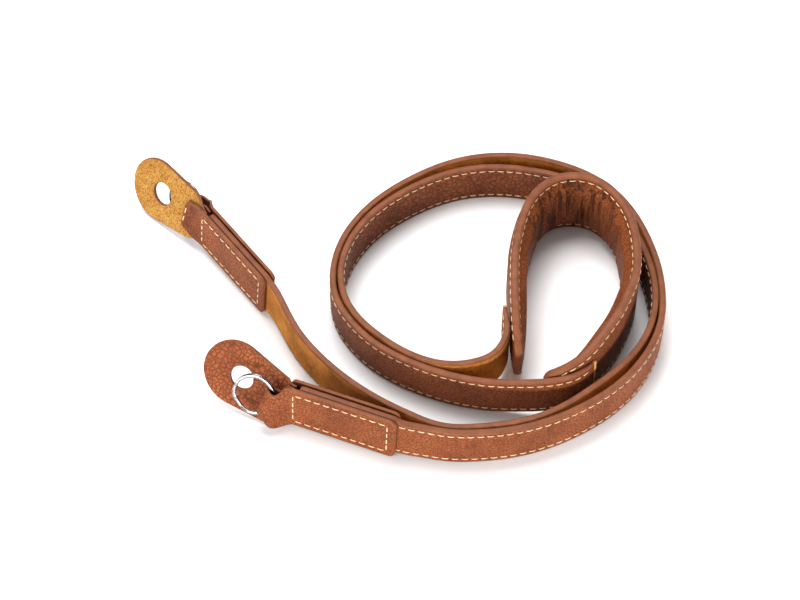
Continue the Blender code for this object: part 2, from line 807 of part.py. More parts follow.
def centre_on_origin():
    """Move everything so that the middle of its box stands over the origin."""
    bpy.context.view_layer.update()
    corners = [made.matrix_world @ vertex.co for made in bpy.context.scene.objects
               for vertex in made.data.vertices]
    low = Vector([min(corner[axis] for corner in corners) for axis in range(3)])
    high = Vector([max(corner[axis] for corner in corners) for axis in range(3)])
    shift = Vector((-(low.x + high.x) / 2, -(low.y + high.y) / 2, -low.z))
    for made in bpy.context.scene.objects:
        made.location = made.location + shift
    bpy.context.view_layer.update()


def main():
    clear_scene()
    make_pad()
    for end in ENDS:
        make_strap(end)
        make_tab(end)
        make_cover(end)
        make_flap(end)
        make_ring(end)
    centre_on_origin()


main()
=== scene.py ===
"""Looks for the leather camera neck strap: detailed leather, suede, thread and steel on the frame."""

import json
import math
import random

import bpy
import numpy as np
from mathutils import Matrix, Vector


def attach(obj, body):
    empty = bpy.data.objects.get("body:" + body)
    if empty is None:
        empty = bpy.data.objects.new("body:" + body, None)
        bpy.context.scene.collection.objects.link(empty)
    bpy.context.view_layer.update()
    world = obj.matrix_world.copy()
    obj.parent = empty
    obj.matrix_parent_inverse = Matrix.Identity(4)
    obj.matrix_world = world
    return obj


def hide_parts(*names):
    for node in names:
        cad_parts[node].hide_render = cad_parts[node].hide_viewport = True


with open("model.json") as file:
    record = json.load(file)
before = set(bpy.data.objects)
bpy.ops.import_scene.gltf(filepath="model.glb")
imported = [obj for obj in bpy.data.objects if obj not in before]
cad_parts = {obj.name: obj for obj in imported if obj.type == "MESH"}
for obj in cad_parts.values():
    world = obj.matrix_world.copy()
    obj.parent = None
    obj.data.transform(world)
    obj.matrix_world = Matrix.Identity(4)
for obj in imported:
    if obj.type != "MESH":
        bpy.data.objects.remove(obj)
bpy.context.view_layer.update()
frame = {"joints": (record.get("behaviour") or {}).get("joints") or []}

# Coil, straps, shoulder piece, tabs, flaps and rings, as in the solids
COIL_LENGTH = 0.1122
COIL_DEPTH = 0.1185
STRAP_WIDTH = 0.0165
STRAP_THICKNESS = 0.0022
GAP = 0.0003
PAD_WIDTH = 0.0280
PAD_EDGE = 0.0028
PAD_FACE_CROWN = 0.0012
PAD_LINING_CROWN = 0.0030
SEWN_LENGTH = 0.0200
TAB_WIDTH = 0.0190
TAB_PLY = 0.0011
TAB_LENGTH = 0.0362
STRAP_SET_BACK = 0.0017
LOOP_WALL = 0.0011
LOOP_WIDTH = 0.0094
LOOP_SKIVED = 0.0008
LOOP_FOOT_WIDTH = 0.0165
COVER_END_WIDTH = 0.0112
COVER_END_REACH = 0.0012
COVER_END_GAP = 0.0005
FLAP_LEATHER = 0.0013
FLAP_SKIVED = 0.0008
FLAP_RADIUS = 0.0118
FLAP_FOOT_WIDTH = 0.0160
FLAP_NECK_WIDTH = 0.0196
HOLE_RADIUS = 0.00415
HOLE_BACK = 0.0025
LOOP_BACK = 0.0155
RING_OUTSIDE = 0.0148
RING_WIRE_RADIAL = 0.0011
RING_WIRE_AXIAL = 0.00075
RING_COIL_GAP = 0.0001
RING_RUN = 0.00025
RING_START = -105.0
RING_CROSSING = 3 / 26
NARROWING_SHARES = {"outer": (0.45, 1.0), "inner": (0.10, 0.90)}
LOWERING_SHARE = 2.6

# Fineness of the visible meshes
SPLINE_PARTS = 24
STRAP_STEP = 0.0011
PAD_STEP = 0.0006
RING_STEPS = 104

# Steps of the solids' own lines
PAD_SOLID_STEP = 0.0036
STRAP_SOLID_STEP = 0.0046

# Inner side of a tab or cover, from the middle of the strap
SEAT = STRAP_THICKNESS / 2 + GAP

# Stitches: pitch, size, distance from an edge, most tilt and slant, shape as (share of length,
# height, size), the groove that they lie in, and how deep they lie
STITCH_PITCH = 0.00325
STITCH_LENGTH = 0.00235
STITCH_HALF_WIDTH = 0.00019
STITCH_HALF_HEIGHT = 0.00016
STITCH_INSET = 0.0019
STITCH_SIDES = 8
STITCH_TILT = 0.06
STITCH_SLANT = 0.00008
STITCH_PROFILE = (
    (0.00, -0.9, 0.50), (0.08, 0.05, 0.80), (0.22, 0.62, 0.98), (0.50, 0.80, 1.05),
    (0.78, 0.62, 0.98), (0.92, 0.05, 0.80), (1.00, -0.9, 0.50),
)
GROOVE_DEPTH = 0.00016
GROOVE_PROFILE = (
    (-0.00055, 0.0), (-0.0003, 0.55), (0.0, 1.0), (0.0003, 0.55), (0.0006, 0.0), (0.0009, 0.0),
)
STITCH_SINK = 0.6 * GROOVE_DEPTH

# Straps: smoothing of the rise, how they fill the tabs, narrowing of a cut end, and how far from
# the ends the stitches stop
RISE_SMOOTHING = 0.003
TAB_FILL_INSET = 0.0005
TAB_FILL_WAY = 0.0012
STRAP_END_NARROWING = 0.0004
STRAP_STITCH_START = -0.0024
STRAP_STITCH_END = 0.0012

# Shoulder piece: stitches' distance from the edge and the tips and their depth, grooves, where
# padding starts and over what way it rises, thickness at the tips and the way to all of it,
# smoothing of its shape and the rows added at the tips, and the lining's creases
PAD_STITCH_INSET = 0.0021
PAD_STITCH_END = 0.0040
PAD_STITCH_SINK = 0.0001
PAD_GROOVE = 0.00014
PAD_LINING_SWELL = (0.0002, 0.0042)
PAD_FACE_SWELL = (0.0003, 0.0040)
PAD_TIP_THICKNESS = 0.45
PAD_TIP_WAY = 0.0012
PAD_SMOOTHING = 9
PAD_TIP_SHARE = 0.05
PAD_TIP_ROWS = np.array([0.0003, 0.0006, 0.0010, 0.0015, 0.00225])
CREASE_COUNT = 46
CREASE_SEED = 7
CREASE_LIMIT = 0.0013

# Tabs: rounded corners, pared cut ends, and places of the sewn rectangle and of the cover's row
TAB_ROUND = 0.0026
COVER_END_ROUND = 0.0022
PARED_SHARE = 0.6
PARED_WAY = 0.0006
TAB_STITCH_INSET = 0.0026
TAB_STITCH_START = 0.0030
TAB_STITCH_LIFT = 0.00004
COVER_STITCH_BACK = 0.0010
COVER_STITCH_INSET = 0.0020

# Flaps: points round the leaf, its rim and neck, and the foot's end. Rings: rounding and ends
FLAP_POINTS = 160
FLAP_RIM = 0.00028
FLAP_NECK_REACH = 0.0004
FOOT_REACH = 0.0012
FOOT_END_INSET = 0.0006
FOOT_SHARE = 0.985
RING_ROUND = 0.00024
RING_END_GAP = 1 / 26
RING_END_SIZE = 0.72

OUTER_ROUTE = (
    (-0.238, -0.488), (-0.162, -0.500), (-0.068, -0.500), (0.025, -0.489), (0.127, -0.462),
    (0.225, -0.418), (0.326, -0.353), (0.407, -0.273), (0.463, -0.184), (0.492, -0.099),
    (0.500, -0.019), (0.496, 0.065), (0.473, 0.172), (0.434, 0.273), (0.377, 0.359),
    (0.299, 0.425), (0.194, 0.473), (0.085, 0.498), (-0.029, 0.498), (-0.144, 0.470),
    (-0.256, 0.413), (-0.358, 0.337), (-0.431, 0.254), (-0.479, 0.162), (-0.500, 0.061),
    (-0.491, -0.027), (-0.455, -0.101), (-0.389, -0.179), (-0.309, -0.237), (-0.225, -0.278),
    (-0.135, -0.310), (-0.029, -0.334), (0.047, -0.342),
)

INNER_START = (
    (-0.638, -0.090), (-0.596, -0.164), (-0.541, -0.233), (-0.474, -0.300), (-0.407, -0.354),
    (-0.340, -0.398), (-0.274, -0.434),
)

INNER_BESIDE = (
    ("along", "gap"),
    (0.035, 0.03), (0.065, 0.02), (0.100, 0.02), (0.135, 0.05), (0.170, 0.12), (0.205, 0.11),
    (0.240, 0.06), (0.280, 0.02), (0.320, 0.02), (0.360, 0.06), (0.400, 0.12), (0.440, 0.17),
    (0.480, 0.21), (0.520, 0.19), (0.560, 0.13), (0.600, 0.08), (0.640, 0.04), (0.680, 0.02),
    (0.720, 0.02), (0.760, 0.03), (0.800, 0.06),
)

INNER_END = (
    (-0.118, -0.275), (-0.074, -0.270), (-0.039, -0.259), (-0.010, -0.239), (0.011, -0.208),
    (0.022, -0.172),
)

PAD_ROUTE = (
    (0.058, -0.251), (0.052, -0.190), (0.048, -0.110), (0.048, -0.019), (0.054, 0.070),
    (0.072, 0.160), (0.100, 0.240), (0.147, 0.303), (0.199, 0.335), (0.245, 0.341),
    (0.291, 0.334), (0.340, 0.303), (0.385, 0.243), (0.411, 0.170), (0.420, 0.080),
    (0.413, -0.010), (0.388, -0.082), (0.352, -0.156), (0.316, -0.208), (0.274, -0.259),
    (0.215, -0.302), (0.165, -0.317), (0.127, -0.320),
)

PAD_SHAPE = (
    ("along", "width", "outer", "inner", "drop"),
    (0.000, 0.34, 0.0, 0.0, 0.075),
    (0.004, 0.45, 0.0, 0.0, 0.072),
    (0.012, 0.54, 0.0, 0.1, 0.066),
    (0.025, 0.61, 0.0, 0.4, 0.055),
    (0.060, 0.73, 0.0, 0.8, 0.030),
    (0.110, 0.88, 0.0, 1.0, 0.006),
    (0.160, 0.97, 0.6, 1.0, 0.000),
    (0.220, 1.00, 1.0, 1.0, 0.000),
    (0.420, 1.00, 1.0, 1.0, 0.000),
    (0.520, 1.00, 0.0, 1.0, 0.000),
    (0.780, 1.00, 0.0, 1.0, 0.000),
    (0.840, 0.97, 0.0, 1.0, 0.000),
    (0.890, 0.88, 0.0, 1.0, 0.006),
    (0.940, 0.73, 0.0, 0.8, 0.030),
    (0.975, 0.61, 0.0, 0.4, 0.055),
    (0.988, 0.54, 0.0, 0.1, 0.066),
    (0.996, 0.45, 0.0, 0.0, 0.072),
    (1.000, 0.34, 0.0, 0.0, 0.075),
)

SEWN_SHARES = {
    "outer": (0.35, 0.60, 0.87),
    "inner": (0.75, 1.00),
}

STRAP_PARING = (
    ("back", "thickness"),
    (0.00, 0.50), (0.20, 0.78), (0.45, 1.00),
)

STRAP_RISE = (
    ("back", "rise"),
    (0.0, 0.60), (0.6, 0.56), (1.0, 0.47), (1.4, 0.32), (1.9, 0.14), (2.5, 0.03), (3.0, 0.00),
)

ENDS = {
    "outer": {
        "start_share": (-0.302, -0.4745),
        "tab_angles": (159.2, 1.0, 3.1),
        "flap_angles": (148.2, 13.4, 30.7),
        "flap_share": (-0.7820, -0.2775, 1.043),
        "swing_angle": 7.5,
        "face_side": 1,
    },
    "inner": {
        "start_share": (-0.696, 0.0124),
        "tab_angles": (128.1, 3.2, 3.3),
        "flap_angles": (137.2, 0.1, 22.7),
        "flap_share": (-1.058, 0.3986, 0.962),
        "swing_angle": 0.0,
        "face_side": -1,
    },
}


def column(table, name):
    """One named column of a table as an array."""
    place = table[0].index(name)
    return np.array([row[place] for row in table[1:]])


def plan(table):
    """Plan points in metres, from shares of the coil's length and depth."""
    return np.array(table) * (COIL_LENGTH, COIL_DEPTH)


def ease(share):
    """Smooth step from 0 to 1."""
    share = min(1.0, max(0.0, share))
    return share * share * (3 - 2 * share)


def hermite(first, last, leaving, arriving, share):
    """A point on the cubic way between two points, with its slopes at both."""
    turn = ease(share)
    return (first * (1 - turn) + leaving * (share * (1 - share)**2)
            + last * turn - arriving * (share**2 * (1 - share)))


def spline(points, step, heading=None):
    """Evenly spaced points on a smooth cubic curve through the given points."""
    points = np.asarray(points, float)
    chord = np.linalg.norm(np.diff(points, axis=0), axis=1)
    count = len(points)
    system = np.zeros((count, count))
    right = np.zeros((count, 2))
    for i in range(1, count - 1):
        before, after = chord[i - 1], chord[i]
        system[i, i - 1:i + 2] = (after, 2 * (before + after), before)
        right[i] = 3 * (after * (points[i] - points[i - 1]) / before
                        + before * (points[i + 1] - points[i]) / after)
    if heading is None:
        system[0, :2] = (2, 1)
        right[0] = 3 * (points[1] - points[0]) / chord[0]
    else:
        system[0, 0] = 1
        right[0] = heading
    system[-1, -2:] = (1, 2)
    right[-1] = 3 * (points[-1] - points[-2]) / chord[-1]
    slopes = np.linalg.solve(system, right)
    fine = [hermite(points[i], points[i + 1], chord[i] * slopes[i], chord[i] * slopes[i + 1], share)
            for i in range(count - 1)
            for share in np.linspace(0, 1, SPLINE_PARTS, endpoint=False)]
    fine = np.array([*fine, points[-1]])
    length = arc_lengths(fine)
    total = max(2, round(length[-1] / step))
    return values_at(np.linspace(0, length[-1], total + 1), length, fine)


def arc_lengths(line):
    """Distance along a line at each of its points."""
    return np.concatenate(([0.0], np.cumsum(np.linalg.norm(np.diff(line, axis=0), axis=1))))


def values_at(distances, length, rows):
    """Rows of points or directions, interpolated at distances along a line of those lengths."""
    return np.column_stack([np.interp(distances, length, values) for values in rows.T])


def smoothed(values, reach):
    """Running mean over that many neighbours on each side."""
    count = 2 * reach + 1
    return np.convolve(np.pad(values, reach, mode="edge"), np.full(count, 1 / count), "valid")


def side_normals(line):
    """Unit normals of a plan line, to the right of its direction."""
    tangent = np.gradient(line, axis=0)
    tangent /= np.linalg.norm(tangent, axis=1)[:, None]
    return np.column_stack((tangent[:, 1], -tangent[:, 0]))


def beside(line, distances, offsets):
    """Points at distances along a line, moved to its left by the offsets."""
    length = arc_lengths(line)
    sides = values_at(distances, length, side_normals(line))
    sides /= np.linalg.norm(sides, axis=1)[:, None]
    return values_at(distances, length, line) - sides * np.reshape(offsets, (-1, 1))


def axes(heading, pitch, lean):
    """Along, up and out directions of a strip that heads, pitches and leans back."""
    heading, pitch, lean = (math.radians(value) for value in (heading, pitch, lean))
    along = Vector((math.cos(heading) * math.cos(pitch), math.sin(heading) * math.cos(pitch),
                    math.sin(pitch)))
    level = Vector((-math.sin(heading), math.cos(heading), 0.0))
    upright = level.cross(along) if level.cross(along).z > 0 else along.cross(level)
    up = upright * math.cos(lean) - level * math.sin(lean)
    return along, up, up.cross(along)


class Frame:
    """A place with its along, up and out directions."""

    def __init__(self, origin, along, up, out):
        self.origin, self.along, self.up, self.out = (Vector(v) for v in (origin, along, up, out))

    def at(self, along, up, out):
        """The point at those distances from the place."""
        return self.origin + self.along * along + self.up * up + self.out * out

    def moved(self, along):
        """The same frame, moved along."""
        return Frame(self.at(along, 0, 0), self.along, self.up, self.out)


def between(first, last, share):
    """A frame on the smooth way from one frame to another, by share of the way."""
    turn = ease(share)
    reach = (last.origin - first.origin).length
    origin = hermite(first.origin, last.origin, first.along * reach, last.along * reach, share)
    along = first.along.lerp(last.along, turn).normalized()
    up = first.up.lerp(last.up, turn)
    up = (up - along * up.dot(along)).normalized()
    return Frame(origin, along, up, up.cross(along))


def end_places(end):
    """Frames of one end in the routes' own frame: tab, stitched end, loop and flap."""
    info = ENDS[end]
    along, up, out = axes(*info["tab_angles"])
    height = TAB_WIDTH / 2 * up.z + (STRAP_THICKNESS / 2 + GAP + TAB_PLY) * abs(out.z)
    tab = Frame((*plan(info["start_share"]), height), along, up, out)
    *middle, radii = info["flap_share"]
    flap = Frame((*plan(middle), radii * FLAP_RADIUS), *axes(*info["flap_angles"]))
    return tab, tab.moved(TAB_LENGTH), flap.moved(-LOOP_BACK), flap


def ring_axis(loop, end):
    """The middle of the line round which a ring swings."""
    return loop.at(0, 0, ENDS[end]["face_side"] * (FLAP_LEATHER / 2 + GAP + ring_sizes()[3]))


def ring_sizes():
    """Middle radius of a ring, its arc's depth inside the loop, and the loop's two radii."""
    middle = (RING_OUTSIDE - RING_WIRE_RADIAL) / 2
    depth = middle - math.sqrt(middle**2 - (LOOP_WIDTH / 2)**2)
    thick = 2 * RING_WIRE_AXIAL + RING_COIL_GAP
    inside = math.hypot((depth + RING_WIRE_RADIAL) / 2, thick / 2) + RING_RUN
    return middle, depth, inside, inside + LOOP_WALL


# The routes' origin in the row frame, from the outer ring's joint
RING_JOINT = next(joint for joint in frame["joints"] if joint["child"] == "ring_outer")
ROW_SHIFT = Vector(RING_JOINT["pos_m"]) - ring_axis(end_places("outer")[2], "outer")


def end_frames(end):
    """Frames of one end in the row frame: tab, stitched end, loop and flap."""
    return [Frame(place.origin + ROW_SHIFT, place.along, place.up, place.out)
            for place in end_places(end)]


def pad_line(step):
    """Plan line of the shoulder piece from its left tip to its right tip."""
    return spline(plan(PAD_ROUTE), step)


def strap_line(end, step):
    """Plan line of a strap from its tab's inner end to its sewn end."""
    info = ENDS[end]
    start = plan(info["start_share"])
    heading = math.radians(info["tab_angles"][0])
    leaving = -np.array([math.cos(heading), math.sin(heading)])
    pad = pad_line(PAD_SOLID_STEP)
    seat = PAD_EDGE / 2 + GAP + STRAP_THICKNESS / 2
    sewn = np.array(SEWN_SHARES[end]) * SEWN_LENGTH
    if end == "outer":
        own = plan(OUTER_ROUTE)
        last = beside(pad, arc_lengths(pad)[-1] - sewn, [seat] * len(sewn))
    else:
        outer = strap_line("outer", STRAP_SOLID_STEP)
        shares = column(INNER_BESIDE, "along") * arc_lengths(outer)[-1]
        offsets = column(INNER_BESIDE, "gap") * STRAP_WIDTH + STRAP_THICKNESS
        own = np.vstack((plan(INNER_START), beside(outer, shares, offsets), plan(INNER_END)))
        last = beside(pad, sewn, [seat] * len(sewn))
    return spline(np.vstack((start, own, last)), step, leaving)


def strap_frames(end):
    """Frames of a strap from inside its tab to its sewn end, and their distances."""
    tab = end_frames(end)[0]
    line = strap_line(end, STRAP_STEP)
    length = arc_lengths(line)
    fall = np.clip(1 - length / (LOWERING_SHARE * STRAP_WIDTH), 0, 1)**2
    back = (length[-1] - length) / SEWN_LENGTH
    rise = np.interp(back, column(STRAP_RISE, "back"), column(STRAP_RISE, "rise"))
    rise = smoothed(rise, round(RISE_SMOOTHING / STRAP_STEP))
    full_rise = (PAD_WIDTH - STRAP_WIDTH) / 2
    height = STRAP_WIDTH / 2 + (tab.origin.z - STRAP_WIDTH / 2) * fall + full_rise * rise
    slope = np.gradient(height, length)
    normal = side_normals(line)
    inside = np.arange(TAB_LENGTH - STRAP_SET_BACK, STRAP_STEP / 2, -STRAP_STEP)
    frames = [tab.moved(distance) for distance in inside]
    lean = math.radians(ENDS[end]["tab_angles"][2])
    for i, point in enumerate(line):
        out = Vector((normal[i, 0], normal[i, 1], 0.0))
        along = Vector((normal[i, 1], -normal[i, 0], -slope[i])).normalized()
        up = Vector((0.0, 0.0, 1.0)) - out * math.tan(lean * fall[i])
        up = (up - along * up.dot(along)).normalized()
        place = Vector((point[0], point[1], height[i])) + ROW_SHIFT
        frames.append(Frame(place, along, up, up.cross(along)))
    return frames, np.concatenate((-inside, length))


# Materials


class Nodes:
    """A new material and a small helper that adds and links its shader nodes."""

    def __init__(self, name):
        self.material = bpy.data.materials.new(name)
        self.material.use_nodes = True
        self.tree = self.material.node_tree
        self.shader = self.tree.nodes["Principled BSDF"]
        self.place = self.add("TexCoord", "Object", {})

    def add(self, kind, output, inputs, **settings):
        """An output of a new node with those inputs and settings."""
        node = self.tree.nodes.new("ShaderNode" + kind)
        for key, value in settings.items():
            setattr(node, key, value)
        for key, value in inputs.items():
            self.feed(node.inputs[key], value)
        return node.outputs[output]

    def feed(self, socket, value):
        if isinstance(value, bpy.types.NodeSocket):
            self.tree.links.new(value, socket)
        else:
            socket.default_value = value

    def noise(self, scale, detail=2.0, roughness=0.5, place=None, distortion=0.0, output="Fac"):
        return self.add("TexNoise", output, {"Vector": place or self.place, "Scale": scale, "Detail": detail,
                                             "Roughness": roughness, "Distortion": distortion})

    def cells(self, scale, place, feature="DISTANCE_TO_EDGE"):
        return self.add("TexVoronoi", "Distance", {"Vector": place, "Scale": scale}, feature=feature)

    def bend(self, amount, scale):
        """The place, pushed about by noise, so that cells lose their straight sides."""
        pushed = self.noise(scale, output="Color")
        return self.add("VectorMath", "Vector", {0: pushed, 1: (amount, amount, amount), 2: self.place},
                        operation="MULTIPLY_ADD")

    def stretch(self, *scale):
        """The place, scaled along each axis."""
        return self.add("Mapping", "Vector", {"Vector": self.place, "Scale": scale})

    def span(self, value, low, high, start=0.0, end=1.0):
        """The value, taken from one range to another."""
        return self.add("MapRange", "Result", {"Value": value, "From Min": low, "From Max": high,
                                               "To Min": start, "To Max": end})

    def math(self, operation, first, second):
        return self.add("Math", "Value", {0: first, 1: second}, operation=operation)

    def total(self, *parts):
        """Sum of values, each times its weight."""
        whole, *others = [self.math("MULTIPLY", value, weight) for value, weight in parts]
        for part in others:
            whole = self.math("ADD", whole, part)
        return whole

    def mix(self, share, first, second):
        """A colour between two, by share."""
        first, second = (colour if isinstance(colour, bpy.types.NodeSocket) else (*colour, 1.0)
                         for colour in (first, second))
        return self.add("Mix", 2, {"Factor": share, 6: first, 7: second}, data_type="RGBA")

    def bump(self, height, strength, distance, **onto):
        return self.add("Bump", "Normal", {"Height": height, "Strength": strength, "Distance": distance,
                                           **onto})

    def end(self, **sockets):
        """The material, with those inputs of its shader."""
        for key, value in sockets.items():
            self.feed(self.shader.inputs[key.replace("_", " ")], value)
        return self.material


# Colour of the painted shade in the lining's fold lines, and the place that they lie round
PAINTED_FOLD_SHADE = (0.030, 0.007, 0.003)
FOLD_SHADE_PLACE = tuple(ROW_SHIFT + Vector((0.0264, 0.0380, 0.0170)))


def leather(name, colour, dark, light, cell, depth, fold_shade_reach=None):
    """Pebbled leather: rounded cells between creases darkened by painted shade, with slow changes of colour.

    Painted shade darkens thin upright fold lines, wholly up to one distance from their place and out to
    another.
    """
    n = Nodes(name)
    moved = n.bend(0.99 / cell, cell * 0.55)
    pebble = n.span(n.cells(cell, moved), 0.02, 0.30)
    small = n.span(n.cells(cell * 2.3, moved), 0.03, 0.35)
    pores = n.noise(cell * 6, 3.0, 0.6)
    tone = n.mix(n.span(n.noise(70, 3.0, 0.55), 0.32, 0.70), dark, light)
    body = n.mix(n.span(n.noise(420, 4.0, 0.6), 0.30, 0.72, 0.25, 0.85), tone, colour)
    # Painted shade: darker colour in the creases between pebbles and between small cells
    crease = n.mix(n.span(pebble, 0.0, 0.55, 0.75, 0.0), body, dark)
    shade = n.mix(n.span(small, 0.0, 0.5, 0.25, 0.0), crease, dark)
    normal = n.bump(n.total((pebble, 0.7), (small, 0.25), (pores, 0.18)), 0.85, depth)
    if fold_shade_reach is not None:
        near, far = fold_shade_reach
        away = n.add("VectorMath", "Value", {0: n.place, 1: FOLD_SHADE_PLACE}, operation="DISTANCE")
        lines = n.noise(520, place=n.stretch(1.0, 1.0, 0.06), distortion=0.2)
        broad = n.noise(230, place=n.stretch(1.0, 1.0, 0.10))
        thin = n.math("MAXIMUM", n.span(lines, 0.52, 0.64, 0.0, 0.80), n.span(broad, 0.52, 0.70, 0.0, 0.55))
        fold_shade_mask = n.math("MULTIPLY", thin, n.span(away, near, far, 1.0, 0.0))
        # Painted shade: the fold lines near the place are darkened, besides their bump
        shade = n.mix(fold_shade_mask, shade, PAINTED_FOLD_SHADE)
        normal = n.bump(fold_shade_mask, 0.9, -0.0007, Normal=normal)
    return n.end(Base_Color=shade, Roughness=n.span(pebble, 0.0, 1.0, 0.64, 0.50), Normal=normal,
                 Specular_IOR_Level=0.14)


def painted_edge(name, colour, dark):
    """Smooth painted edge with faint wear and small dots."""
    n = Nodes(name)
    wear = n.noise(260, 4.0, 0.6)
    dots = n.noise(2600)
    tone = n.mix(n.span(wear, 0.30, 0.72), dark, colour)
    speck = n.mix(n.span(dots, 0.62, 0.74, 0.0, 0.25), tone, dark)
    return n.end(Base_Color=speck, Roughness=n.span(wear, 0.2, 0.8, 0.42, 0.58),
                 Normal=n.bump(n.total((wear, 0.6), (dots, 0.3)), 0.35, 0.00012), Specular_IOR_Level=0.16)


def suede(name, colour, dark, light):
    """Napped suede: fine directionless fibres and brushed lighter and darker patches."""
    n = Nodes(name)
    nap = n.noise(3400, 4.0, 0.7)
    fibre = n.noise(900, 5.0, 0.75, n.bend(0.0006, 900))
    tone = n.mix(n.span(n.noise(110, 4.0, 0.6), 0.30, 0.70), dark, colour)
    lift = n.mix(n.span(fibre, 0.42, 0.72, 0.0, 0.55), tone, light)
    grain = n.mix(n.span(nap, 0.35, 0.60, 0.35, 0.0), lift, dark)
    return n.end(Base_Color=grain, Roughness=0.92,
                 Normal=n.bump(n.total((nap, 0.5), (fibre, 0.6)), 0.6, 0.00018),
                 Sheen_Weight=0.12, Sheen_Roughness=0.5, Sheen_Tint=(*light, 1.0), Specular_IOR_Level=0.08)


def speckled(name, colour, dark, light):
    """Ochre split leather with fine dark and light specks, like cork."""
    n = Nodes(name)
    specks = n.noise(1350, 5.0, 0.80)
    grains = n.cells(1300, n.bend(0.0006, 1200), "F1")
    tone = n.mix(n.span(n.noise(160, 3.0, 0.6), 0.30, 0.70, 0.1, 0.9), light, colour)
    spotted = n.mix(n.span(specks, 0.47, 0.58, 0.0, 0.85), tone, dark)
    pale = n.mix(n.span(specks, 0.34, 0.45, 0.75, 0.0), spotted, light)
    return n.end(Base_Color=pale, Roughness=0.85,
                 Normal=n.bump(n.total((specks, 0.8), (grains, 0.3)), 0.55, 0.0002), Specular_IOR_Level=0.1)


def thread_material(name, colour, dark):
    """Waxed sewing thread with fine lighter and darker fibres."""
    n = Nodes(name)
    fibres = n.noise(2600)
    return n.end(Base_Color=n.mix(n.span(fibres, 0.35, 0.65), dark, colour), Roughness=0.62,
                 Normal=n.bump(fibres, 0.5, 0.00012), Sheen_Weight=0.15)


def steel_material(name, colour, dark):
    """Bright polished steel with slight wear."""
    n = Nodes(name)
    wear = n.noise(900, 4.0, 0.6)
    return n.end(Base_Color=n.mix(n.span(wear, 0.3, 0.7), dark, colour),
                 Roughness=n.span(wear, 0.3, 0.7, 0.14, 0.24), Metallic=1.0)


LEATHER = leather("leather_pebbled", (0.300, 0.080, 0.022), (0.078, 0.017, 0.005),
                  (0.370, 0.110, 0.034), 950, 0.00030)
COARSE = leather("leather_grained", (0.225, 0.058, 0.016), (0.055, 0.011, 0.003),
                 (0.270, 0.078, 0.025), 560, 0.00042)
FLAP = leather("leather_coarse", (0.310, 0.082, 0.024), (0.085, 0.018, 0.005),
               (0.370, 0.110, 0.036), 640, 0.00042)
# The lining's fold lines carry painted shade near the pad's inner back
PAD = leather("leather_soft", (0.260, 0.068, 0.017), (0.090, 0.019, 0.005),
              (0.320, 0.095, 0.027), 800, 0.00030, fold_shade_reach=(0.014, 0.030))
EDGE = painted_edge("edge_paint", (0.215, 0.072, 0.030), (0.132, 0.038, 0.014))
LINING = painted_edge("ply_inside", (0.100, 0.032, 0.012), (0.060, 0.018, 0.007))
SUEDE = suede("suede_back", (0.540, 0.205, 0.036), (0.200, 0.062, 0.009), (0.680, 0.310, 0.070))
OCHRE = speckled("split_leather", (0.330, 0.146, 0.025), (0.170, 0.052, 0.007), (0.450, 0.248, 0.064))
RAW = speckled("raw_cut", (0.640, 0.330, 0.080), (0.400, 0.160, 0.030), (0.740, 0.440, 0.140))
THREAD = thread_material("thread", (0.820, 0.630, 0.390), (0.600, 0.410, 0.210))
STEEL = steel_material("ring_steel", (0.29, 0.29, 0.29), (0.20, 0.20, 0.20))
STRAP_LEATHER = {"outer": LEATHER, "inner": COARSE}


# Pieces


def placed(name, data):
    """A new object with that data, in the scene."""
    made = bpy.data.objects.new(name, data)
    bpy.context.scene.collection.objects.link(made)
    return made


def piece(name, vertices, faces, materials, zones, body="strap", smooth_angle=50):
    """A mesh object that rides on a body, with one material index per face."""
    mesh = bpy.data.meshes.new(name)
    mesh.from_pydata([tuple(v) for v in vertices], [], [tuple(f) for f in faces])
    for look in materials:
        mesh.materials.append(look)
    mesh.polygons.foreach_set("material_index", list(zones))
    mesh.update()
    mesh.shade_smooth()
    mesh.set_sharp_from_angle(angle=math.radians(smooth_angle))
    flip_if_inside_out(mesh)
    made = placed(name, mesh)
    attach(made, body)
    return made


